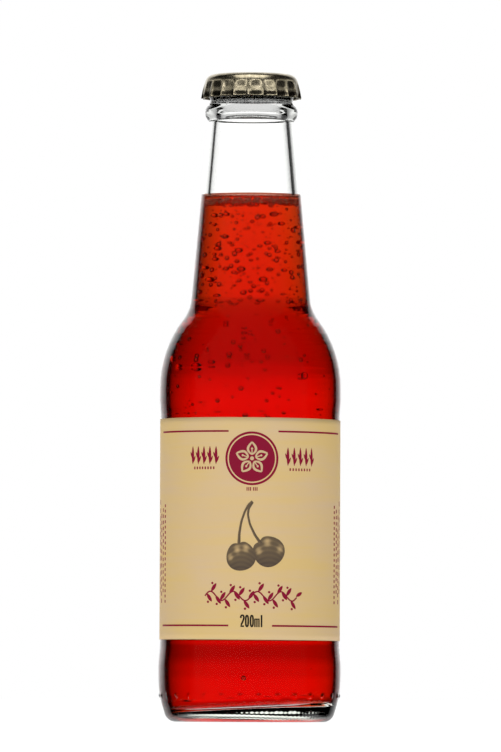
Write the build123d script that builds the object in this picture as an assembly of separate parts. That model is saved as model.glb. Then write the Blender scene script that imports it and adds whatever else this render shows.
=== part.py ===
"""A 200 ml long-neck soda bottle: flint glass, crimped crown cap, wrap-round paper label and its contents.

Millimetres, +Z up. The origin is the centre of the base, on the plane that the bottle stands on, and -Y is the
front of the label. Every sub-part is written to parts/NODE.step.
"""

import os
from math import cos, radians, sin

from build123d import *

# Glass, outside
BASE_CORNER_RADIUS = 23.3  # where the base plane and the heel would meet without their rounding
HEEL_RADIUS = 25.9  # the contact band above the heel, the widest part
HEEL_TURN_Z = 7.6
HEEL_BAND_Z = (13.6, 16.6)
PANEL_RADIUS = 25.45  # the label panel, set back from both contact bands
PANEL_Z = (21.6, 87.2)
SHOULDER_RADIUS = 25.76
SHOULDER_BAND_Z = 91.4
SHOULDER_TURN_Z = 105.7
NECK_ROOT = (17.2, 116.9)  # radius and height where the shoulder would meet the neck cone
NECK_TOP = (12.22, 170.75)
COLLAR_RADIUS = 13.2  # the reinforcing ring under the crown
COLLAR_Z = (171.9, 174.2)
COLLAR_ROUNDING = 2.7
GROOVE_RADIUS = 11.75
GROOVE_Z = (175.7, 177.3)
GROOVE_ROUNDING = 1.75
BEAD_RADIUS = 13.05  # the locking ring that the crown is crimped round
BEAD_Z = 178.4
GLASS_HEIGHT = 183.0
LIP_ROUNDING = 2.9

# Glass, inside
CAVITY_RADIUS = 23.3
CAVITY_SHOULDER_TURN_Z = 104.8
CAVITY_NECK_ROOT = (14.6, 115.9)
CAVITY_NECK_TOP = (9.9, 170.9)
CHOKE = (8.4, 171.9)  # the narrowest place, a ledge where the finish was pressed on the neck
BORE_RADIUS = 9.4
BORE_Z = 173.9
MOUTH_ROUNDING = 0.6
FLOOR_Z = 4.4  # on the axis; the floor is uneven, as blown glass is
FLOOR_TILT = 2.8  # degrees, higher on the +X side
FLOOR_ROUNDING = 4.5
PUSH_UP_RADIUS = 18.8  # the hollow under the base
PUSH_UP_HEIGHT = 2.0

# Marks that the mould leaves
STIPPLE_COUNT = 108
STIPPLE_RADIUS = 0.35
STIPPLE_START = 20.6  # the bearing ring inside this radius stays flat
DOT_COUNT = 30
DOT_SPHERE = 1.8
DOT_HEIGHT = 0.3
DOT_Z = 7.4
HEEL_RADIUS_AT_DOTS = 25.34

# Contents
FILL_Z = 150.3
FROTH_Z = (148.2, 150.9)
FROTH_WIDTH = 2.3

# Label
LABEL_Z = (23.2, 85.7)
GLUE_THICKNESS = 0.04
PAPER_THICKNESS = 0.10
SEAM_AZIMUTH = 97.0  # degrees from +X, at the back
SEAM_OVERLAP = 13.5  # degrees, 6 mm of paper

# Crown cap
CROWN_TOP_Z = 183.92
CROWN_SHEET = 0.26
CROWN_CORNER = 12.5  # where the flat top would meet the skirt
CROWN_KNEE = (13.9, 179.9)
CROWN_HEM = (14.5, 177.1)
CROWN_CORNER_ROUNDING = 2.3
FLUTE_COUNT = 21
FLUTE_ROOT_RADIUS = 13.42  # the outside of a flute's valley, which clears the glass bead all the way up
FLUTE_SCALLOP = 2.0  # radius of the round hollow between two ridges
LINER_RADIUS = 12.25
LINER_RING = (9.35, 11.7)  # the thicker ring that seals on the glass
LINER_WEB_Z = 183.36
LINER_SEAL_Z = 183.03


def turned(points, radii, floor_z):
    """A solid of revolution: the (radius, height) points joined by lines with rounded corners, down to the axis."""
    outline = FilletPolyline(*[(r, 0, z) for r, z in points], radius=radii)
    closing = Polyline((points[-1][0], 0, points[-1][1]), (0, 0, points[-1][1]), (0, 0, floor_z),
                       (points[0][0], 0, points[0][1]))
    return revolve(make_face(Wire([*outline.edges(), *closing.edges()])), Axis.Z)


def around(piece, count, offset=0.0):
    """count copies of a piece, evenly spaced round the Z axis."""
    return [Rot(0, 0, offset + 360 * i / count) * piece for i in range(count)]


def glass_outside():
    points = [
        (0.5, 0),
        (BASE_CORNER_RADIUS, 0),
        (HEEL_RADIUS, HEEL_TURN_Z),
        (HEEL_RADIUS, HEEL_BAND_Z[1]),
        (PANEL_RADIUS, PANEL_Z[0]),
        (PANEL_RADIUS, PANEL_Z[1]),
        (SHOULDER_RADIUS, SHOULDER_BAND_Z),
        (SHOULDER_RADIUS, SHOULDER_TURN_Z),
        NECK_ROOT,
        NECK_TOP,
        (COLLAR_RADIUS, COLLAR_Z[0]),
        (COLLAR_RADIUS, COLLAR_Z[1]),
        (GROOVE_RADIUS, GROOVE_Z[0]),
        (GROOVE_RADIUS, GROOVE_Z[1]),
        (BEAD_RADIUS, BEAD_Z),
        (BEAD_RADIUS, GLASS_HEIGHT),
        (BORE_RADIUS / 2, GLASS_HEIGHT),
    ]
    finish_radii = [0.4, COLLAR_ROUNDING, COLLAR_ROUNDING, GROOVE_ROUNDING, GROOVE_ROUNDING, 1.7, LIP_ROUNDING]
    radii = [3.4, 33, 12, 12, 8, 8, 31.8, 11, *finish_radii]
    return turned(points, radii, 0)


def cavity():
    """The space inside the glass, open through the mouth, with its rounded and uneven floor."""
    points = [
        (CAVITY_RADIUS, 0),
        (CAVITY_RADIUS, CAVITY_SHOULDER_TURN_Z),
        CAVITY_NECK_ROOT,
        CAVITY_NECK_TOP,
        CHOKE,
        (BORE_RADIUS, BORE_Z),
        (BORE_RADIUS, GLASS_HEIGHT + 2),
    ]
    space = turned(points, [29, 13, 1.0, 0.5, 4], 0)
    below_floor = Pos(0, 0, FLOOR_Z) * Rot(0, -FLOOR_TILT, 0) * Pos(0, 0, -20) * Box(80, 80, 40)
    space -= below_floor
    rim = space.edges().sort_by(Axis.Z)[0]
    return space.fillet(FLOOR_ROUNDING, [rim])


def push_up():
    """The shallow dome under the base, as a cap of a large sphere."""
    ball = (PUSH_UP_RADIUS**2 + PUSH_UP_HEIGHT**2) / (2 * PUSH_UP_HEIGHT)
    return Pos(0, 0, PUSH_UP_HEIGHT - ball) * Sphere(ball)


def stipples():
    """The short radial grooves that the mould cuts into the outside of the bearing ring."""
    groove = Pos(STIPPLE_START + 2, 0, 0) * Rot(0, 90, 0) * Cylinder(STIPPLE_RADIUS, 4)
    return around(groove, STIPPLE_COUNT)


def mould_dots():
    """Low round dots round the heel, where a mould carries its code."""
    dot = Pos(HEEL_RADIUS_AT_DOTS + DOT_HEIGHT - DOT_SPHERE, 0, DOT_Z) * Sphere(DOT_SPHERE)
    return around(dot, DOT_COUNT, 180 / DOT_COUNT)


def glass_bottle():
    body = glass_outside() + mould_dots()
    body -= [cavity(), push_up()]
    rim = body.edges().filter_by(GeomType.CIRCLE).group_by(Axis.Z)[-1].sort_by(SortBy.RADIUS)[0]
    body = body.fillet(MOUTH_ROUNDING, [rim])
    return body - stipples()


def froth_ring():
    """The collar of fine bubbles that clings to the glass at the liquid's edge."""
    low, high = FROTH_Z
    band = Pos(0, 0, (low + high) / 2) * Cylinder(CAVITY_RADIUS, high - low)
    wall = cavity() & band
    inner_radius = min(edge.radius for edge in wall.edges().filter_by(GeomType.CIRCLE)) - FROTH_WIDTH
    return wall - Pos(0, 0, (low + high) / 2) * Cylinder(inner_radius, high - low)


def soda_fill():
    """The drink, up to the fill line, meeting the glass and the froth face to face."""
    below_fill = Pos(0, 0, FILL_Z / 2) * Cylinder(2 * CAVITY_RADIUS, FILL_Z)
    return (cavity() & below_fill) - froth_ring()


def label_sleeve(inner_radius, thickness):
    """A sleeve as tall as the label."""
    low, high = LABEL_Z
    sleeve = Cylinder(inner_radius + thickness, high - low) - Cylinder(inner_radius, high - low)
    return Pos(0, 0, (low + high) / 2) * sleeve


def sector(radius, start, sweep):
    """A pie slice as tall as the label, used to keep one part of a sleeve."""
    low, high = LABEL_Z
    a, b, middle = (radians(start + share * sweep) for share in (0, 1, 0.5))
    far = radius / cos(radians(sweep / 2))
    outline = Polyline((0, 0), (radius * cos(a), radius * sin(a)), (far * cos(middle), far * sin(middle)),
                       (radius * cos(b), radius * sin(b)), close=True)
    return Pos(0, 0, low) * extrude(make_face(outline), high - low)


def wrap_label():
    """One turn of paper round the panel, with its end lapped over its start at the back."""
    paper_radius = PANEL_RADIUS + GLUE_THICKNESS
    wrapped = label_sleeve(paper_radius, PAPER_THICKNESS)
    lap = label_sleeve(paper_radius + PAPER_THICKNESS, PAPER_THICKNESS)
    return wrapped + (lap & sector(2 * PANEL_RADIUS, SEAM_AZIMUTH, SEAM_OVERLAP))


def label_adhesive():
    return label_sleeve(PANEL_RADIUS, GLUE_THICKNESS)


def crown_envelope(inset):
    """The crown's turned shape through its ridges, inset by the sheet's thickness for the inside."""
    corner = CROWN_CORNER - inset
    top = CROWN_TOP_Z - inset
    knee = (CROWN_KNEE[0] - inset, CROWN_KNEE[1])
    hem = (CROWN_HEM[0] - inset, CROWN_HEM[1])
    return turned([hem, knee, (corner, top), (0.5, top)], [3, CROWN_CORNER_ROUNDING - inset], hem[1])


def flute_scallops(inset):
    """The round hollows between the ridges, as upright cylinders."""
    scallop = Cylinder(FLUTE_SCALLOP + inset, 20)
    return around(Pos(FLUTE_ROOT_RADIUS + FLUTE_SCALLOP, 0, CROWN_HEM[1]) * scallop, FLUTE_COUNT, -90)


def crown_shell():
    """The tinplate cap: one thickness of sheet, pressed into ridges and valleys round its skirt."""
    outside = crown_envelope(0) - flute_scallops(0)
    inside = crown_envelope(CROWN_SHEET) - flute_scallops(CROWN_SHEET)
    return outside - inside


def crown_liner():
    """The moulded seal inside the crown: a thin web with a thicker ring over the glass rim."""
    top = CROWN_TOP_Z - CROWN_SHEET
    web = Pos(0, 0, (LINER_WEB_Z + top) / 2) * Cylinder(LINER_RING[1], top - LINER_WEB_Z)
    ring_height = top - LINER_SEAL_Z
    ring = Cylinder(LINER_RING[1], ring_height) - Cylinder(LINER_RING[0], ring_height)
    seal = web + Pos(0, 0, (LINER_SEAL_Z + top) / 2) * ring
    return seal & crown_envelope(CROWN_SHEET)


PIECES = {
    "glass_bottle": glass_bottle,
    "soda_fill": soda_fill,
    "froth_ring": froth_ring,
    "wrap_label": wrap_label,
    "label_adhesive": label_adhesive,
    "crown_shell": crown_shell,
    "crown_liner": crown_liner,
}

os.makedirs("parts", exist_ok=True)
for name, make in PIECES.items():
    shape = make()
    export_step(shape, f"parts/{name}.step")
    print(name, f"{shape.volume / 1000:.2f} ml")
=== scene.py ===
from math import cos, degrees, pi, radians, sin, tan

import bpy
import numpy as np
from mathutils import Matrix, Vector


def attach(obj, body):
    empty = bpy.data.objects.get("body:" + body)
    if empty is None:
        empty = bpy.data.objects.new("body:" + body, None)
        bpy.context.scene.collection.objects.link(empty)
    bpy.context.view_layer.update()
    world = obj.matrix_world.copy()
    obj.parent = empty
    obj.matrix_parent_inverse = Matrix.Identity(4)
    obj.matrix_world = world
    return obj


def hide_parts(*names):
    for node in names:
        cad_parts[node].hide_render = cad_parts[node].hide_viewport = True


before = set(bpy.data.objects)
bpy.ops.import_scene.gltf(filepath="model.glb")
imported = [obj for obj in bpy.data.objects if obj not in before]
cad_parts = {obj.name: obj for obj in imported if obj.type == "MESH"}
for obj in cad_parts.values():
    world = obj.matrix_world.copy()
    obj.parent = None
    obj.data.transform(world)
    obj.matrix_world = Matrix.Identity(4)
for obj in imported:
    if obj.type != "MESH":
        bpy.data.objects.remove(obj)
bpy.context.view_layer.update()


# THE TABLE AND THE LIGHT
# The bottle stands on a white table in front of a white sheet that is lit from behind. Two black flags,
# one at each side of the sheet, draw the dark lines down the edges of the glass, and soft light from the
# front shows the label.

sheet_left, sheet_right = -42, 37.5  # degrees round from straight behind the bottle, where the lit sheet ends
flag_left, flag_right = -98, 96  # where the black flags end
flag_blur = 2.5
sheet_levels = [(sheet_left, 0.55), (-34, 1.0), (-22, 1.3), (-8, 1.42), (12, 1.42), (20, 1.22), (28, 0.85),
                (sheet_right, 0.38)]  # its brightness, by degrees round
sheet_top, sheet_blur, dark_overhead = 62, 3, 0.03  # degrees up, where it ends, and what is left above
sheet_low, sheet_full, low_level = -5, 3, 0.52  # dimmer below sheet_low, and full from sheet_full
left_level, front_level, right_level = 0.68, 0.72, 0.36  # how bright the rest of the room is
table_level = 0.95  # and of the white table, seen steeply down through the foot of the glass
table_steep, table_shallow = -0.50, -0.42  # a ray's fall where the table shows in full, and not at all
mirrored_level = 0.012  # what shows of that room as a reflection in the glass

world = bpy.data.worlds.new("studio")
bpy.context.scene.world = world
world.use_nodes = True
room = world.node_tree
room.nodes.clear()


def room_node(kind, operation=None, *inputs):
    """A node of the room's light, with plain values or other nodes' outputs on its first inputs."""
    node = room.nodes.new(kind)
    if operation:
        node.operation = operation
    for socket, value in zip(node.inputs, inputs):
        if isinstance(value, bpy.types.NodeSocket):
            room.links.new(value, socket)
        else:
            socket.default_value = value
    return node


way = room.nodes.new("ShaderNodeTexCoord")
axes = room_node("ShaderNodeSeparateXYZ", None, way.outputs["Generated"])
round_from_back = room_node("ShaderNodeMath", "ARCTAN2", axes.outputs["X"], axes.outputs["Y"])
share_round = room_node("ShaderNodeMath", "MULTIPLY_ADD", round_from_back.outputs[0], 1 / (2 * pi), 0.5)
levels = room_node("ShaderNodeValToRGB", None, share_round.outputs[0])
stops = [(-180, front_level), (flag_left - flag_blur, left_level), (flag_left, 0),
         (sheet_left - flag_blur, 0), *sheet_levels, (sheet_right + flag_blur, 0), (flag_right, 0),
         (flag_right + flag_blur, right_level), (180, front_level)]
ramp = levels.color_ramp.elements
while len(ramp) < len(stops):
    ramp.new(0.5)
for stop, (angle, level) in zip(ramp, stops):
    stop.position = angle / 360 + 0.5
    stop.color = (level, level, level, 1)
behind = room_node("ShaderNodeMath", "GREATER_THAN", axes.outputs["Y"], 0.0)
overhead = room_node("ShaderNodeMapRange", None, axes.outputs["Z"], sin(radians(sheet_top - sheet_blur)),
                     sin(radians(sheet_top + sheet_blur)), 1, dark_overhead)
low_sheet = room_node("ShaderNodeMapRange", None, axes.outputs["Z"], sin(radians(sheet_low)),
                      sin(radians(sheet_full)), low_level, 1)
sheet_share = room_node("ShaderNodeMath", "MULTIPLY", overhead.outputs[0], low_sheet.outputs[0])
shaded = room_node("ShaderNodeMapRange", None, behind.outputs[0], 0, 1, 1, sheet_share.outputs[0])
rays = room.nodes.new("ShaderNodeLightPath")
mirrored = room_node("ShaderNodeMapRange", None, behind.outputs[0], 0, 1, mirrored_level, 1)
sharp = room_node("ShaderNodeMath", "SUBTRACT", rays.outputs["Is Reflection Ray"],
                  rays.outputs["Is Diffuse Ray"])
mirror_share = room_node("ShaderNodeMapRange", None, sharp.outputs[0], 0, 1, 1, mirrored.outputs[0])
walls = room_node("ShaderNodeMath", "MULTIPLY", levels.outputs["Color"], shaded.outputs[0])
downward = room_node("ShaderNodeMapRange", None, axes.outputs["Z"], table_steep, table_shallow,
                     table_level, 0)
room_light = room_node("ShaderNodeMath", "MAXIMUM", walls.outputs[0], downward.outputs[0])
lit = room_node("ShaderNodeMath", "MULTIPLY", room_light.outputs[0], mirror_share.outputs[0])
seen = room_node("ShaderNodeMapRange", None, rays.outputs["Is Camera Ray"], 0, 1, lit.outputs[0], 1)
glow = room_node("ShaderNodeBackground", None, seen.outputs[0])
out = room.nodes.new("ShaderNodeOutputWorld")
room.links.new(glow.outputs[0], out.inputs["Surface"])

bpy.context.scene.view_settings.view_transform = "Standard"
bpy.context.scene.cycles.max_bounces = 32
bpy.context.scene.cycles.transmission_bounces = 32
bpy.context.scene.cycles.transparent_max_bounces = 16
bpy.context.scene.cycles.caustics_reflective = False

reach = 8  # metres from the middle of the table to its edges
table_grey, table_glow = 0.25, 0.95
table_mesh = bpy.data.meshes.new("table")
table_mesh.from_pydata([(-reach, -reach, 0), (reach, -reach, 0), (reach, reach, 0), (-reach, reach, 0)], [],
                       [(0, 1, 2, 3)])
table = bpy.data.objects.new("table", table_mesh)
bpy.context.collection.objects.link(table)
table_white = bpy.data.materials.new("white_table")
table_white.use_nodes = True
table_shader = table_white.node_tree.nodes["Principled BSDF"]
table_shader.inputs["Base Color"].default_value = (table_grey, table_grey, table_grey, 1)
table_shader.inputs["Roughness"].default_value = 0.9
table_shader.inputs["Specular IOR Level"].default_value = 0
table_shader.inputs["Emission Color"].default_value = (1, 1, 1, 1)
table_shader.inputs["Emission Strength"].default_value = table_glow
table_mesh.materials.append(table_white)
# Seen through the glass, the sheet runs on below the table's edge, so the drink has no horizon in it.
table.visible_transmission = False
table.visible_glossy = False

# The camera stands 2.4 metres back with its lens low, level with the heel.
camera_distance, camera_height, aim_height = 2.4, 0.008, 0.0982
camera_roll = radians(0.2)
camera_lens = 404.7
camera = bpy.data.objects.new("camera", bpy.data.cameras.new("camera"))
bpy.context.collection.objects.link(camera)
camera.data.lens = camera_lens
camera.data.clip_end = 20
camera.location = (0, -camera_distance, camera_height)
sight = Vector((0, 0, aim_height)) - camera.location
upright = sight.to_track_quat("-Z", "Y").to_matrix()
camera.rotation_euler = (upright @ Matrix.Rotation(camera_roll, 3, "Z")).to_euler()
bpy.context.scene.camera = camera


# THE GLASS
# One blown piece of clear flint glass, faintly green where it is thick. The mould leaves a ring of low
# dots round the heel and short radial grooves round the foot; inside, the floor is uneven and the wall
# ripples slightly.

MM = 0.001


def rounded(corners, radii, arc_step=6, support=0.25):
    """Points along the straight runs between corners, each inner corner turned by an arc of its own radius.

    With half the angle between the two runs called h, the arc's centre lies radius / sin h from the corner on
    their bisector, and the arc starts radius / tan h from the corner. An arc takes steps of arc_step degrees,
    or half that where its radius is over 10 mm. A long run gets one more point close to each of its ends,
    which keeps the shading of the arc off the straight wall.
    """
    corners = np.array(corners, float)
    runs = [corners[:1]]
    for before, at, after, radius in zip(corners, corners[1:], corners[2:], radii):
        back = (before - at) / np.linalg.norm(before - at)
        ahead = (after - at) / np.linalg.norm(after - at)
        turn = np.arctan2(ahead[1] * back[0] - ahead[0] * back[1], -(ahead @ back))
        half = (pi - abs(turn)) / 2
        centre = at + (back + ahead) / np.linalg.norm(back + ahead) * radius / sin(half)
        spoke = at + back * radius / tan(half) - centre
        steps = int(degrees(abs(turn)) / arc_step * (2 if radius > 10 else 1)) + 1
        swing = np.linspace(0, -turn, max(2, steps) + 1)[:, None]
        runs.append(centre + spoke * np.cos(swing) + np.array([-spoke[1], spoke[0]]) * np.sin(swing))
    outline = np.vstack([*runs, corners[-1:]])
    step = np.diff(outline, axis=0)
    long = np.linalg.norm(step, axis=1, keepdims=True) > 4 * support
    near = np.where(long, support / np.maximum(np.linalg.norm(step, axis=1, keepdims=True), support), np.nan)
    held = np.stack([outline[:-1], outline[:-1] + step * near, outline[1:] - step * near], 1).reshape(-1, 2)
    return np.vstack([held[~np.isnan(held[:, 0])], outline[-1:]])


def turned(outline, columns):
    """The outline's radii and heights, in metres, repeated round the axis, and the angle of every column."""
    angle = np.arange(columns) * (2 * pi / columns)
    radius = np.repeat(outline[:, :1], columns, 1) * MM
    height = np.repeat(outline[:, 1:], columns, 1) * MM
    return radius, height, np.broadcast_to(angle, radius.shape)


def turned_shell(radius, height, angle):
    """Vertices and faces of a turned grid: (r cos a, r sin a, z), each ring joined to the next.

    The first and the last ring lie on the axis, and each becomes one vertex, so the shell is closed.
    """
    rings, columns = radius.shape
    points = np.stack([radius * np.cos(angle), radius * np.sin(angle), height], -1)
    inner = points[1:-1].reshape(-1, 3)
    vertices = np.vstack([points[0].mean(0), inner, points[-1].mean(0)])
    here = np.arange((rings - 3) * columns).reshape(rings - 3, columns) + 1
    beside = np.roll(here, -1, 1)
    quads = np.stack([here, beside, beside + columns, here + columns], -1).reshape(-1, 4)
    first, last = np.arange(columns) + 1, np.arange(columns) + 1 + (rings - 3) * columns
    start = np.stack([np.zeros_like(first), np.roll(first, -1), first], -1)
    end = np.stack([last, np.roll(last, -1), np.full_like(last, len(vertices) - 1)], -1)
    return vertices, quads.tolist() + start.tolist() + end.tolist()


def piece(name, vertices, faces, material):
    """A named object with its place in its mesh and one material."""
    mesh = bpy.data.meshes.new(name)
    mesh.from_pydata(np.asarray(vertices).tolist(), [], faces)
    mesh.materials.append(material)
    mesh.shade_smooth()
    made = bpy.data.objects.new(name, mesh)
    bpy.context.collection.objects.link(made)
    return made


def principled(name, colour, roughness, **values):
    """A node material: its Principled shader and its tree, with plain values on the shader's own sockets."""
    made = bpy.data.materials.new(name)
    made.use_nodes = True
    shader = made.node_tree.nodes["Principled BSDF"]
    shader.inputs["Base Color"].default_value = (*colour, 1)
    shader.inputs["Roughness"].default_value = roughness
    for socket, value in values.items():
        shader.inputs[socket.replace("_", " ")].default_value = value
    return made, shader, made.node_tree


def noise(tree, scale, detail=2, stretch=(1, 1, 1)):
    """Noise on the piece's own Object coordinates, with scale in waves per metre, squeezed by axis by stretch."""
    place = tree.nodes.new("ShaderNodeTexCoord")
    mapping = tree.nodes.new("ShaderNodeMapping")
    mapping.inputs["Scale"].default_value = stretch
    tree.links.new(place.outputs["Object"], mapping.inputs["Vector"])
    made = tree.nodes.new("ShaderNodeTexNoise")
    made.inputs["Scale"].default_value = scale
    made.inputs["Detail"].default_value = detail
    tree.links.new(mapping.outputs[0], made.inputs["Vector"])
    return made.outputs["Fac"]


def bumped(tree, shader, height, distance, strength=1):
    """Raises the shader's surface by height times distance, in metres."""
    bump = tree.nodes.new("ShaderNodeBump")
    bump.inputs["Distance"].default_value = distance
    bump.inputs["Strength"].default_value = strength
    tree.links.new(height, bump.inputs["Height"])
    tree.links.new(bump.outputs[0], shader.inputs["Normal"])


def absorbs(tree, per_metre):
    """Takes light out of red, green and blue at these rates per metre of depth."""
    volume = tree.nodes.new("ShaderNodeVolumeAbsorption")
    most = max(per_metre)
    volume.inputs["Color"].default_value = (*[1 - rate / most for rate in per_metre], 1)
    volume.inputs["Density"].default_value = most
    tree.links.new(volume.outputs[0], tree.nodes["Material Output"].inputs["Volume"])


glass_columns = 432
glass_height = 183.0
outside = rounded(
    [(0, 2.0), (9, 1.55), (18.8, 0), (23.3, 0), (25.9, 7.6), (25.9, 16.6), (25.45, 21.6), (25.45, 87.2),
     (25.76, 91.4), (25.76, 105.7), (17.2, 116.9), (12.22, 170.75), (13.2, 171.9), (13.2, 174.2), (11.75, 175.7),
     (11.75, 177.3), (13.05, 178.4), (13.05, glass_height), (9.4, glass_height), (9.4, 173.9)],
    [30, 2.0, 3.4, 33, 12, 12, 8, 8, 31.8, 11, 0.4, 2.7, 2.7, 1.75, 1.75, 1.7, 2.9, 1.0], arc_step=10)[:-1]
inside = rounded(
    [(9.4, 181), (9.4, 173.9), (8.4, 171.9), (9.9, 170.9), (14.6, 115.9), (23.3, 104.8), (23.3, 4.4),
     (0, 4.4)],
    [4, 0.5, 1.0, 13, 29, 4.5], arc_step=10)[1:]
band_radius = 25.9
heel_turn, heel_top = 33, 13.09  # the heel's own arc, and where it meets the band above
heel_level = np.arange(5.9, 9.0, 0.25)  # rows close together across the heel, for the dots
heel_bow = np.sqrt(heel_turn**2 - (heel_top - heel_level) ** 2)
heel_rows = np.stack([band_radius - heel_turn + heel_bow, heel_level], -1)
at_side = outside[:, 0] > 24
on_heel = at_side & (outside[:, 1] > 5.7) & (outside[:, 1] < 9.2)
below_heel = np.argmax(at_side & (outside[:, 1] > 5.7))
outside = np.insert(outside[~on_heel], below_heel, heel_rows, 0)
wet_height = 149.65  # the drink wets the inner wall up to here
at_contact = np.argmax(inside[:, 1] < wet_height)
either_side = inside[at_contact - 1:at_contact + 1]
contact_radius = np.interp(-wet_height, -either_side[:, 1], either_side[:, 0])
inside = np.insert(inside, at_contact, (contact_radius, wet_height), 0)
floor_height = 4.4
floor_tilt = tan(radians(2.8))
floor_blend = 18.0  # above this height the inner wall is upright

radius, height, angle = turned(np.vstack([outside, inside]), glass_columns)
rows_outside = len(outside)

# the grooves round the foot: a cosine round the axis, faded out on both sides of the bearing ring
stipple_count, stipple_depth = 108, 0.22
stipple_radius, stipple_width, stipple_top = 22.4, 1.9, 2.6
foot = np.clip(1 - np.abs(radius[:rows_outside] / MM - stipple_radius) / stipple_width, 0, 1)
foot = foot * (height[:rows_outside] < stipple_top * MM)
groove = 0.5 + 0.5 * np.cos(stipple_count * angle[:rows_outside])
radius[:rows_outside] -= foot * stipple_depth * MM * groove

# the dots round the heel: bell-shaped bumps at even steps round it
dot_count, dot_height, dot_level, dot_width = 30, 0.34, 7.4, 1.0
dot_radius, side_radius = 25.4, 24.5
off_dot = (dot_count * angle[:rows_outside] / (2 * pi) + 0.5) % 1 - 0.5
across = off_dot * 2 * pi * dot_radius / dot_count
up = height[:rows_outside] / MM - dot_level
dots = np.exp(-(across**2 + up**2) / (0.6 * dot_width) ** 2) * (radius[:rows_outside] > side_radius * MM)
radius[:rows_outside] += dots * dot_height * MM


def floor_lift(radius, height, angle):
    """How far the uneven floor raises each point: the tilt times r cos a, times a smooth fade.

    The fade is s squared times (3 - 2 s), where s falls from 1 at the floor to 0 at floor_blend.
    """
    sink = np.clip((floor_blend * MM - height) / ((floor_blend - floor_height) * MM), 0, 1)
    return sink**2 * (3 - 2 * sink) * floor_tilt * radius * np.cos(angle)


height[rows_outside:] += floor_lift(radius[rows_outside:], height[rows_outside:], angle[rows_outside:])


def refracts(made, tree, shader, values):
    """Gives every face of a piece its own refraction, kept in a face attribute that the shader reads."""
    kept = made.data.attributes.new("refraction", "FLOAT", "FACE")
    kept.data.foreach_set("value", values.astype(np.float32))
    read = tree.nodes.new("ShaderNodeAttribute")
    read.attribute_name = "refraction"
    tree.links.new(read.outputs["Fac"], shader.inputs["IOR"])


# Light bends much less from glass to drink than from glass to air, so the wetted wall refracts by the
# ratio of the two.
glass_refraction, drink_refraction = 1.52, 1.34
flint, shader, tree = principled("flint_glass", (1, 1, 1), 0.0, Transmission_Weight=1.0)
bumped(tree, shader, noise(tree, 90, 1, (1, 1, 0.25)), 0.00002)
absorbs(tree, (2.2, 1.2, 3.4))
bottle = piece("glass_body", *turned_shell(radius, height, angle), flint)
quad_count = (len(radius) - 3) * glass_columns
face = np.arange(len(bottle.data.polygons))
wetted = np.where(face < quad_count, face // glass_columns + 1 >= rows_outside + at_contact,
                  face >= quad_count + glass_columns)
refracts(bottle, tree, shader, np.where(wetted, glass_refraction / drink_refraction, glass_refraction))
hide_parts("glass_bottle")
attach(bottle, "bottle")


# THE DRINK
# Red soda, clear and still fizzing. It wets the glass and climbs it at its edge, and gas bubbles cling to
# the wall or rise through it: each is a hollow in the drink, and the finest crowd into a dark collar under
# the surface.

drink_columns = 240
level_height = 148.4
gap = 0.02  # between the drink's skin and the glass, too small to see
steep_climb, steep_reach = 0.8, 0.09  # the film that creeps up the glass, and its reach
slow_climb, slow_reach = 0.45, 0.9  # and the rounded edge of the surface

wall = inside[at_contact:][::-1]
skin = wall - np.where(wall[:, :1] > 8, [[gap, 0]], [[0, 0]]) + np.where(wall[:, 1:] < 12, [[0, gap]], [[0, 0]])
edge = skin[-1, 0]
hold, neck_lean = 0.1, 0.095  # a row just under the contact line, on the leaning wall, holds its shading
held = np.array([[edge + hold * neck_lean, wet_height - hold]])
from_wall = np.array([0.01, 0.03, 0.05, 0.08, 0.11, 0.15, 0.2, 0.27, 0.36, 0.5, 0.7, 1.0, 1.5, 2.1,
                      3.0, 4.4, 7.0])


def climbed(distance):
    """Height of the drink at a distance from the wall: its level, plus each climb times e to -distance / reach."""
    return (level_height + steep_climb * np.exp(-distance / steep_reach)
            + slow_climb * np.exp(-distance / slow_reach))


surface = np.stack([edge - from_wall, climbed(from_wall)], -1)
drink_outline = np.vstack([skin[:-1], held, skin[-1:], surface, [[0, level_height]]])
radius, height, angle = turned(drink_outline, drink_columns)
height += floor_lift(radius, height, angle)
drink_points, drink_faces = turned_shell(radius, height, angle)


def ball_shell(columns, rings):
    """A unit ball of a few dozen faces: rings at even steps of latitude, and a point at each pole."""
    latitude = np.linspace(-pi / 2, pi / 2, rings + 2)
    radius, height, angle = turned(np.stack([np.cos(latitude), np.sin(latitude)], -1) / MM, columns)
    return turned_shell(radius, height, angle)


def many(shell, centres, sizes, hollow=False):
    """Copies of a shell at these centres and sizes, as one shell: centre + size times each point.

    Hollow ones are inside out.
    """
    points, faces = shell
    vertices = (centres[:, None] + sizes[:, None, None] * points[None]).reshape(-1, 3)
    faces = [face[::-1] if hollow else face for face in faces]
    shifts = len(points) * np.arange(len(centres))
    return vertices, [[corner + int(shift) for corner in face] for shift in shifts for face in faces]


def bubbles_at(levels, sizes, inset):
    """Bubble centres at these heights and random angles, moved in from the wall by a share of its radius."""
    out_to = (np.interp(levels, wall[:, 1], wall[:, 0]) - sizes * 1.1 - 0.05) * (1 - inset)
    around = draw.uniform(0, 2 * pi, len(levels))
    return np.stack([out_to * np.cos(around), out_to * np.sin(around), levels], -1)


draw = np.random.default_rng(11)
neck_start = 117
crowding = ((neck_start, 147, 500), (78, 119, 360), (12, 78, 60))  # lowest, highest and how many
levels = np.concatenate([draw.uniform(*zone) for zone in crowding])
largest = np.where(levels > neck_start, 0.66, 0.6)
sizes = 0.14 + largest * draw.random(len(levels)) ** 2.5
inset = np.where(draw.random(len(levels)) < 0.75, 0, draw.random(len(levels)) ** 1.5)
loose = many(ball_shell(10, 5), bubbles_at(levels, sizes, inset) * MM, sizes * MM, hollow=True)

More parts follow.
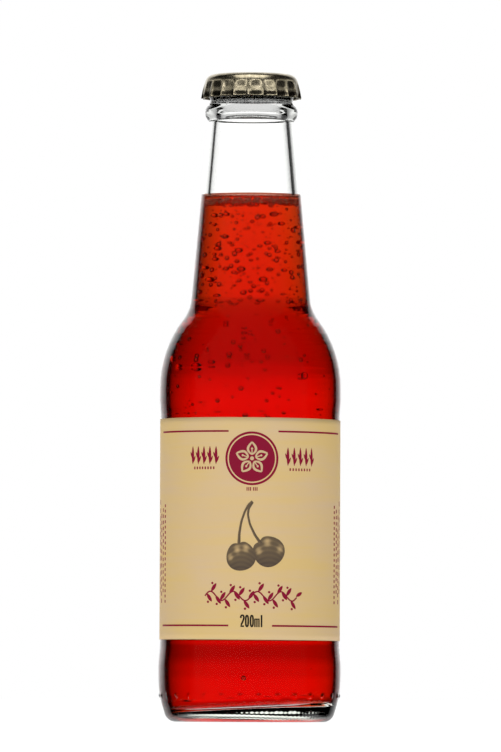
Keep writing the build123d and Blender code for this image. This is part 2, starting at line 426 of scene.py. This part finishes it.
# the dark collar: the deeper a bubble lies, the larger it may be, and they crowd towards the wall
collar_count = 950
collar_drop = 1.35 * draw.random(collar_count) ** 1.2
collar_size = 0.20 + (0.14 + 0.22 * collar_drop) * draw.random(collar_count) ** 1.2
collar_inset = 0.22 * draw.random(collar_count) ** 1.5
collar_level = level_height - collar_size - 0.03 - collar_drop
collar_centres = bubbles_at(collar_level, collar_size, collar_inset)
crowd = many(ball_shell(6, 4), collar_centres * MM, collar_size * MM, hollow=True)

vertices, faces = drink_points, drink_faces
for more_points, more_faces in (loose, crowd):
    shift = len(vertices)
    vertices = np.vstack([vertices, more_points])
    faces = faces + [[corner + shift for corner in face] for face in more_faces]

red_drink, shader, tree = principled("red_drink", (0.80, 0.45, 0.36), 0.0, Transmission_Weight=1.0)
bumped(tree, shader, noise(tree, 60, 1), 0.00001)
absorbs(tree, (8.0, 140, 250))
drink = piece("soda", vertices, faces, red_drink)
drink.data.set_sharp_from_angle(angle=radians(50))
quad_count = (len(radius) - 3) * drink_columns
face = np.arange(len(faces))
at_glass = np.where(face < quad_count, face // drink_columns + 2 <= len(skin),
                    face < quad_count + drink_columns)
refracts(drink, tree, shader, np.where(at_glass, 1.0, drink_refraction))
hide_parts("soda_fill")
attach(drink, "bottle")


# THE FROTH
# A few of the finest bubbles stand on the drink where it meets the glass.

froth_count = 90
froth_size = 0.08 + 0.10 * draw.random(froth_count)
froth_in = 0.02 + 0.05 * draw.random(froth_count) ** 1.5
froth_level = climbed(froth_in * edge) + 0.5 * froth_size
froth_film, shader, tree = principled("froth_film", (1, 0.75, 0.72), 0.03, Transmission_Weight=1.0, IOR=1.12)
bumped(tree, shader, noise(tree, 900), 0.00002)
froth_centres = bubbles_at(froth_level, froth_size, froth_in)
froth = piece("froth", *many(ball_shell(8, 3), froth_centres * MM, froth_size * MM), froth_film)
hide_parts("froth_ring")
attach(froth, "bottle")


# THE LABEL
# One sheet of cream paper with a faint laid grain, glued round the set-back panel and lapped at the back.

paper_radius = 25.59  # its outer face
paper_thickness = 0.10
paper_low, paper_high = 23.15, 85.65
label_lean = 0.0052  # it went on very slightly out of level
art_shift = 0.45  # and the front of the design is a little to the right
seam_start, seam_turn = radians(97), 2 * pi + radians(13.5)
lap_rise, lap_gap = radians(1.5), 0.01  # where the lap climbs over the other end, and the glue under it
cockle_depth = 0.012


def wrapped(along, level, out=0.0):
    """Points on the label: along is the way round to the right of the front, and level the height, in mm."""
    turn = np.asarray(along) / paper_radius
    spread = paper_radius + np.asarray(out)
    x, y = spread * np.sin(turn), -spread * np.cos(turn)
    return np.stack(np.broadcast_arrays(x, y, level - label_lean * x), -1) * MM


def grid_faces(rows, columns):
    """Quads of a grid of rows by columns, row after row."""
    here = np.arange(rows * columns).reshape(rows, columns)[:-1, :-1]
    return np.stack([here, here + 1, here + columns + 1, here + columns], -1).reshape(-1, 4).tolist()


paper_rows, paper_columns = 40, 300
share = np.linspace(0, 1, paper_columns)
turn = seam_start + share * seam_turn
lapped = np.clip((share * seam_turn - 2 * pi + lap_rise) / lap_rise, 0, 1) * (paper_thickness + lap_gap)
spread = paper_radius + lapped
level = np.linspace(paper_low, paper_high, paper_rows)[:, None]
cockle = cockle_depth * np.sin(level * 0.35 + 3 * np.sin(turn * 2)) * np.sin(turn * 9 + level * 0.1)
spread = spread + cockle * (1 - lapped / lapped.max())
x, y = spread * np.cos(turn), spread * np.sin(turn)
sheet = np.stack(np.broadcast_arrays(x, y, level - label_lean * x), -1).reshape(-1, 3) * MM

cream_paper, shader, tree = principled("cream_paper", (0.8, 0.6, 0.32), 0.6, Specular_IOR_Level=0.15)
grain = noise(tree, 260, 3, (0.12, 0.12, 2.2))
cloud = noise(tree, 45, 2, (1, 1, 1.6))
blend = tree.nodes.new("ShaderNodeMath")
blend.operation = "MULTIPLY_ADD"
tree.links.new(grain, blend.inputs[0])
blend.inputs[1].default_value = 0.55
tree.links.new(cloud, blend.inputs[2])
tint = tree.nodes.new("ShaderNodeValToRGB")
tint.color_ramp.elements[0].position, tint.color_ramp.elements[0].color = 0.5, (0.80, 0.585, 0.355, 1)
tint.color_ramp.elements[1].position, tint.color_ramp.elements[1].color = 1.05, (0.84, 0.60, 0.25, 1)
tree.links.new(blend.outputs[0], tint.inputs["Fac"])
tree.links.new(tint.outputs["Color"], shader.inputs["Base Color"])
bumped(tree, shader, noise(tree, 2400, 3, (1, 1, 2)), 0.00003, 0.6)
label = piece("paper_label", sheet, grid_faces(paper_rows, paper_columns), cream_paper)
gauge = label.modifiers.new("paper", "SOLIDIFY")
gauge.thickness = paper_thickness * MM
gauge.offset = -1
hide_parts("wrap_label", "label_adhesive")
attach(label, "bottle")


# THE CRIMSON PRINTING
# Crimson ink on the label: two pairs of rules, a ringed disc, two rows of upright leaves over a line of
# dashes, and a running vine. Each stroke is a thin closed layer of ink that follows the paper round.

ink_low, ink_top = -0.03, 0.025  # the ink's faces, in mm out from the paper


def ribbon(path, width, closed=False, top=ink_top):
    """A stroke of ink along a path of (along, level) points, of this width at each point, as a closed shell.

    At each point the stroke's edges lie half the width to the left and the right of the way ahead.
    """
    path = np.asarray(path, float)
    width = np.broadcast_to(width, len(path))[:, None]
    ahead = np.roll(path, -1, 0) - np.roll(path, 1, 0) if closed else np.gradient(path, axis=0)
    left = np.stack([-ahead[:, 1], ahead[:, 0]], -1) / np.linalg.norm(ahead, axis=1, keepdims=True) * width / 2
    edges = ((path + left, top), (path - left, top), (path - left, ink_low), (path + left, ink_low))
    points = np.stack([wrapped(art_shift + at[:, 0], at[:, 1], out) for at, out in edges], 1).reshape(-1, 3)
    count = len(path)
    here = 4 * np.arange(count if closed else count - 1)[:, None] + np.arange(4)
    beside = 4 * np.arange(len(here))[:, None] + (np.arange(4) + 1) % 4
    beyond = 4 * count
    faces = np.stack([here, beside, (beside + 4) % beyond, (here + 4) % beyond], -1).reshape(-1, 4).tolist()
    ends = [] if closed else [[3, 2, 1, 0], [beyond - 4, beyond - 3, beyond - 2, beyond - 1]]
    return points, faces + ends


def blot(centre, rim, rings, top=ink_top):
    """A filled shape of ink: its edge lies at the radius that rim gives for each even step of angle."""
    share = np.linspace(0, 1, rings + 1)
    share = np.concatenate([share, share[::-1]])[:, None]
    out = np.repeat([ink_low, top], rings + 1)[:, None]
    radius = share * rim[None] * MM
    angle = np.broadcast_to(np.arange(len(rim)) * (2 * pi / len(rim)), radius.shape)
    points, faces = turned_shell(radius, np.broadcast_to(out, radius.shape) * 1.0, angle)
    return wrapped(art_shift + centre[0] + points[:, 0] / MM, centre[1] + points[:, 1] / MM, points[:, 2]), faces


def joined(shells):
    """Several shells as one set of vertices and faces."""
    shifts = np.cumsum([0] + [len(points) for points, _ in shells])
    faces = [[corner + shift for corner in face] for (_, more), shift in zip(shells, shifts) for face in more]
    return np.vstack([points for points, _ in shells]), faces


def straight(start, end, width, step=0.9, top=ink_top):
    """A stroke of ink from start to end."""
    count = max(2, int(np.hypot(end[0] - start[0], end[1] - start[1]) / step) + 2)
    return ribbon(np.linspace(start, end, count), width, top=top)


def leaf(start, end, width):
    """A leaf from start to end: a stroke that swells and closes again."""
    share = np.linspace(0, 1, 9)
    return ribbon(np.outer(1 - share, start) + np.outer(share, end), 0.06 + width * np.sin(pi * share) ** 0.7)


def printing(name, colour, shells, roughness=0.42):
    """A piece of ink, slightly worn and mottled, that rides with the bottle."""
    ink, shader, tree = principled(name, colour, roughness, Specular_IOR_Level=0.12)
    worn = tree.nodes.new("ShaderNodeMix")
    worn.data_type = "RGBA"
    worn.inputs["A"].default_value = (*colour, 1)
    worn.inputs["B"].default_value = (*[0.8 * part + 0.01 for part in colour], 1)
    tree.links.new(noise(tree, 900, 3), worn.inputs["Factor"])
    tree.links.new(worn.outputs["Result"], shader.inputs["Base Color"])
    bumped(tree, shader, noise(tree, 2400, 3), 0.00003, 0.4)
    made = piece(name, *joined(shells), ink)
    made.data.set_sharp_from_angle(angle=radians(40))
    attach(made, "bottle")
    return made


round_steps = np.linspace(0, 2 * pi, 72, endpoint=False)
circle = np.stack([np.cos(round_steps), np.sin(round_steps)], -1)
roundel = np.array([0.05, 74.1])
crimson = [straight((-33.5, 81.75), (-6.6, 81.75), 0.5), straight((7.6, 81.75), (33.5, 81.75), 0.5),
           straight((-33.5, 27.1), (-6.5, 27.1), 0.5), straight((5.9, 27.1), (33.5, 27.1), 0.5),
           ribbon(roundel + 7.25 * circle, 0.62, closed=True), blot(roundel, np.full(72, 6.55), 9)]

# the rows of upright leaves, each over its line of dashes
for first, last, low, high in ((-17.9, -10.3, 72.4, 77.5), (10.5, 18.5, 72.1, 77.3)):
    for at in np.linspace(first, last, 5):
        crimson += [leaf((at, low), (at, high), 0.78), leaf((at + 0.1, low + 0.5), (at + 0.85, low + 2.4), 0.42),
                    leaf((at - 0.1, low + 1.6), (at - 0.8, low + 3.5), 0.42)]
    dashes_at = np.linspace(first + 0.5, last - 0.9, 8)
    crimson += [straight((at, low - 1.0), (at + 0.42, low - 1.0), 0.75) for at in dashes_at]
crimson += [straight((at, 65.5), (at + 0.28, 65.5), 1.0) for at in (-1.45, -0.95, -0.45, 0.35, 0.85, 1.35)]

# a running vine of leaves and berries across the foot of the design
vine_level, vine_swing, vine_wave = 35.4, 1.3, 6.8
stem_along = np.linspace(-13.6, 13.4, 90)
stem_level = vine_level + vine_swing * np.sin(2 * pi * stem_along / vine_wave)
crimson.append(ribbon(np.stack([stem_along, stem_level], -1), 0.4))
for number, at in enumerate(np.arange(-13.0, 12.0, 1.36)):
    root = np.array([at, vine_level + vine_swing * np.sin(2 * pi * at / vine_wave)])
    way_up = 1 if number % 2 else -1
    crimson += [leaf(root, root + (1.55, 2.3 * way_up), 0.95),
                blot(root + (0.35, 2.35 * way_up), np.full(16, 0.34), 1)]
crimson.append(leaf((13.2, vine_level), (15.2, vine_level + 1.2), 0.95))

# rules of dashes on the sides, where the small print goes
for side, first in ((1, 30.2), (-1, -31.4)):
    for line in range(4):
        along = first + side * 1.8 * line
        for at in np.arange(33.5 + 3 * (line % 2), 62 - 2 * (line % 3), 1.5 + 0.25 * line):
            crimson.append(straight((along, at), (along, at + 0.8 + 0.2 * line), 0.75, top=0.02))
crimson_print = printing("crimson_printing", (0.33, 0.002, 0.036), crimson)


# THE CREAM BLOSSOM
# In the crimson disc a blossom is left in the paper's own cream: five notched petals and a ring of stamens.

petals = []
for turn_at in np.arange(5) * 2 * pi / 5 + pi / 2:
    ray, square = np.array([np.cos(turn_at), np.sin(turn_at)]), np.array([-np.sin(turn_at), np.cos(turn_at)])
    share = np.linspace(0, 1, 12)
    for side in (-1, 1):
        path = np.outer(1.1 + 3.5 * share, ray) + np.outer(side * 1.15 * np.sin(pi * share**0.85), square)
        petals.append(ribbon(roundel + path, 0.42 + 0.25 * np.sin(pi * share), top=0.05))
    petals.append(straight(roundel + 1.2 * ray, roundel + 2.5 * ray, 0.3, top=0.05))
    petals.append(blot(roundel + 2.75 * ray, np.full(16, 0.3), 1, top=0.05))
petals.append(blot(roundel, np.full(24, 0.55), 1, top=0.05))
blossom = printing("cream_blossom", (0.80, 0.585, 0.33), petals)


# THE CHERRIES
# A pair of cherries on forked stems, printed as an engraving in olive grey. A shade attribute holds the
# artist's light and dark, with fine hatching across each fruit.

round_steps = np.linspace(0, 2 * pi, 60, endpoint=False)
fruits = []
left_cherry = ((-3.0, 46.6), 4.15, 4.2, 1.75, ((-0.72, -0.1), (-0.25, 0.45), (0.35, 0.55)))
right_cherry = ((4.9, 48.0), 4.6, 4.35, 2.35, ((0.72, 0.15), (-0.62, 0.0), (-0.1, 0.6)))
for centre, wide, tall, dip_at, glints in (left_cherry, right_cherry):
    rim = 1 / np.sqrt((np.cos(round_steps) / wide) ** 2 + (np.sin(round_steps) / tall) ** 2)
    rim *= 1 - 0.16 * np.exp(-((round_steps - dip_at) / 0.30) ** 2) + 0.03 * np.cos(3 * (round_steps - dip_at))
    points, faces = blot(centre, rim, 16, top=0.03 if wide > 4.2 else 0.045)
    along = np.arctan2(points[:, 0], -points[:, 1]) * paper_radius - art_shift - centre[0]
    up = (points[:, 2] / MM + label_lean * points[:, 0] / MM) - centre[1]
    u, v = along / wide, up / tall
    lit = 0.30 + 0.10 * v - 0.10 * (u**2 + v**2)
    for glint in glints:
        lit += 0.42 * np.exp(-((u - glint[0]) / 0.20) ** 2 - ((v - glint[1]) / 0.26) ** 2)
    lit += 0.06 * np.sin(9 * (v + 0.5 * u * u) * 2.2)
    fruits.append((points, faces, lit))
stem_points = ((-3.55, 50.1), (-3.45, 53.0), (-2.9, 56.3), (-1.9, 59.2), (-0.9, 61.0), (0.25, 62.0))
other_points = ((2.6, 50.2), (0.9, 52.6), (-0.5, 55.6), (-1.05, 58.2), (-0.85, 60.0), (0.2, 61.8))
for knots in (stem_points, other_points):
    knots = np.array(knots)
    fine = np.linspace(0, 5, 26)
    path = np.stack([np.interp(fine, range(6), knots[:, 0]), np.interp(fine, range(6), knots[:, 1])], -1)
    path[1:-1] = (path[:-2] + 2 * path[1:-1] + path[2:]) / 4
    points, faces = ribbon(path, 1.0 - 0.42 * np.sin(pi * np.linspace(0.08, 0.85, 26)) ** 0.8, top=0.05)
    fruits.append((points, faces, np.where(np.arange(len(points)) % 4 < 1, 0.42, 0.12)))
engraving, shader, tree = principled("cherry_engraving", (0.3, 0.25, 0.15), 0.5, Specular_IOR_Level=0.12)
cherries = piece("printed_cherries", *joined([(points, faces) for points, faces, _ in fruits]), engraving)
shade = cherries.data.attributes.new("shade", "FLOAT", "POINT")
shade.data.foreach_set("value", np.concatenate([lit for *_, lit in fruits]).astype(np.float32))
read = tree.nodes.new("ShaderNodeAttribute")
read.attribute_name = "shade"
tones = tree.nodes.new("ShaderNodeValToRGB")
tones.color_ramp.elements[0].position, tones.color_ramp.elements[0].color = 0.0, (0.085, 0.062, 0.052, 1)
tones.color_ramp.elements[1].position, tones.color_ramp.elements[1].color = 0.8, (0.66, 0.46, 0.22, 1)
middle_tone = tones.color_ramp.elements.new(0.35)
middle_tone.color = (0.18, 0.128, 0.075, 1)
tree.links.new(read.outputs["Fac"], tones.inputs["Fac"])
tree.links.new(tones.outputs["Color"], shader.inputs["Base Color"])
bumped(tree, shader, noise(tree, 2400, 3), 0.00003, 0.4)
cherries.data.set_sharp_from_angle(angle=radians(40))
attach(cherries, "bottle")


# THE BLACK PRINTING
# The volume mark, 200 ml, in tall narrow black figures.

figure_low, figure_high = 26.7, 30.1
tall = figure_high - figure_low
round_steps = np.linspace(0, 2 * pi, 20, endpoint=False)
figures = []
at = -2.95
two = [(0.0, 0.74), (0.02, 0.88), (0.26, 0.97), (0.62, 0.97), (0.86, 0.88), (0.86, 0.72), (0.66, 0.52),
       (0.22, 0.24), (0.06, 0.07), (0.9, 0.07)]
figures.append(ribbon(np.array(two) * (1.0, tall) + (at, figure_low), 0.48))
for nought_at in (at + 1.75, at + 3.1):
    oval = np.stack([0.36 * np.sign(np.cos(round_steps)) * np.abs(np.cos(round_steps)) ** 0.7,
                     0.455 * tall * np.sign(np.sin(round_steps)) * np.abs(np.sin(round_steps)) ** 0.85], -1)
    figures.append(ribbon(oval + (nought_at, figure_low + tall / 2), 0.46, closed=True))
for left in (at + 3.98, at + 4.55, at + 5.12):
    figures.append(straight((left, figure_low), (left, figure_low + 0.68 * tall), 0.38))
figures += [straight((at + 3.85, figure_low + 0.66 * tall), (at + 5.25, figure_low + 0.66 * tall), 0.3, top=0.03),
            straight((at + 5.85, figure_low), (at + 5.85, figure_high), 0.46)]
volume_mark = printing("black_printing", (0.02, 0.014, 0.010), figures)


# THE CROWN
# A 26 mm crown cap pressed from lacquered tinplate, with 21 flutes crimped round the glass bead. The
# ridges between the flutes are narrow, and each flute starts in a rounded arch under the flat top.

flutes = 21
sheet_gauge = 0.24
ridge_power = 3.6  # how narrow the ridges are
flute_columns = 18
crown_turn = radians(4.9)  # how far round the crown was pressed on


def resampled(outline, count):
    """The same outline with count points at even distances along it."""
    length = np.concatenate([[0], np.cumsum(np.linalg.norm(np.diff(outline, axis=0), axis=1))])
    at = np.linspace(0, length[-1], count)
    return np.stack([np.interp(at, length, outline[:, 0]), np.interp(at, length, outline[:, 1])], -1)


def crown_face(inset):
    """Ridge and valley outlines of the sheet's outer face, or of its inner face when inset by the gauge."""
    top, corner = 183.92 - inset, 12.45 - inset
    ridge = rounded([(0, top), (corner, top), (13.5 - inset, 181.0), (14.0 - inset, 179.3), (14.45 - inset, 177.1)],
                    [2.5 - inset, 4, 6])
    valley = rounded([(0, top), (corner, top), (13.22 - inset, 181.75), (13.39 - inset, 179.9), (13.66 - inset, 178.5),
                      (13.58 - inset, 177.5), (13.68 - inset, 177.1)], [2.5 - inset, 0.7, 1.5, 0.6, 0.5])
    return resampled(ridge, 72), resampled(valley, 72)


outer_ridge, outer_valley = crown_face(0)
inner_ridge, inner_valley = crown_face(sheet_gauge)
ridge = np.vstack([outer_ridge, inner_ridge[::-1]])[::-1]
valley = np.vstack([outer_valley, inner_valley[::-1]])[::-1]
radius, height, angle = turned(ridge, flutes * flute_columns)
low_radius, low_height, angle = turned(valley, flutes * flute_columns)
across = (flutes * (angle + pi / 2 - crown_turn) / (2 * pi) + 0.5) % 1 - 0.5
ridged = np.abs(2 * across) ** ridge_power
radius = low_radius + (radius - low_radius) * ridged
height = low_height + (height - low_height) * ridged

brass_lacquer, shader, tree = principled("brass_lacquer", (0.2, 0.16, 0.1), 0.3, Metallic=1.0)
tarnish = tree.nodes.new("ShaderNodeValToRGB")
tarnish.color_ramp.elements[0].position, tarnish.color_ramp.elements[0].color = 0.35, (0.24, 0.21, 0.14, 1)
tarnish.color_ramp.elements[1].position, tarnish.color_ramp.elements[1].color = 0.7, (0.47, 0.41, 0.29, 1)
tree.links.new(noise(tree, 700, 4), tarnish.inputs["Fac"])
tree.links.new(tarnish.outputs["Color"], shader.inputs["Base Color"])
worn = tree.nodes.new("ShaderNodeMapRange")
worn.inputs["To Min"].default_value, worn.inputs["To Max"].default_value = 0.18, 0.28
tree.links.new(noise(tree, 1500, 3), worn.inputs["Value"])
tree.links.new(worn.outputs[0], shader.inputs["Roughness"])
bumped(tree, shader, noise(tree, 3000, 2), 0.00002, 0.5)
crown = piece("crown_cap", *turned_shell(radius, height, angle), brass_lacquer)
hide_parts("crown_shell")
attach(crown, "crown")

# Five soft boxes light the metal of the crown alone, each a metre from it: low strips in front and at both
# sides that show in the flutes, a wide weak one, and a small one overhead that shows on the rim. Each has
# its width and height in metres, its degrees round from the front and up, and its watts.
crown_level = 0.18
soft_boxes = (("flute_strip", 2.4, 0.12, 0, 25, 3.1), ("left_strip", 2.4, 0.12, -82, 25, 1.1),
              ("right_strip", 2.4, 0.12, 82, 25, 1.1), ("wide_fill", 6.0, 3.0, 0, 10, 1.6),
              ("rim_light", 1.1, 0.7, 0, 68, 7.0))
crown_only = bpy.data.collections.new("crown_only")
crown_only.objects.link(crown)
for name, wide, tall, side, up, power in soft_boxes:
    box = bpy.data.lights.new(name, "AREA")
    box.shape, box.size, box.size_y, box.energy = "RECTANGLE", wide, tall, power
    lamp = bpy.data.objects.new(name, box)
    bpy.context.collection.objects.link(lamp)
    out_to = cos(radians(up))
    lamp.location = (out_to * sin(radians(side)), -out_to * cos(radians(side)), crown_level + sin(radians(up)))
    lamp.rotation_euler = (radians(90 - up), 0, radians(side))
    lamp.visible_camera = False
    lamp.light_linking.receiver_collection = crown_only

# The liner is a disc of soft white compound moulded inside the crown, with the thicker ring that seals on
# the glass.
seal_outline = rounded(
    [(0, 183.36), (9.35, 183.36), (9.6, 183.04), (11.3, 183.04), (11.55, 183.45), (11.2, 183.66), (0, 183.66)],
    [0.15, 0.1, 0.1, 0.15, 0.1], 20)
soft_liner, shader, tree = principled("soft_liner", (0.78, 0.78, 0.74), 0.45)
bumped(tree, shader, noise(tree, 1200), 0.00003)
seal = piece("crown_seal", *turned_shell(*turned(seal_outline, 96)), soft_liner)
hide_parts("crown_liner")
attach(seal, "crown")
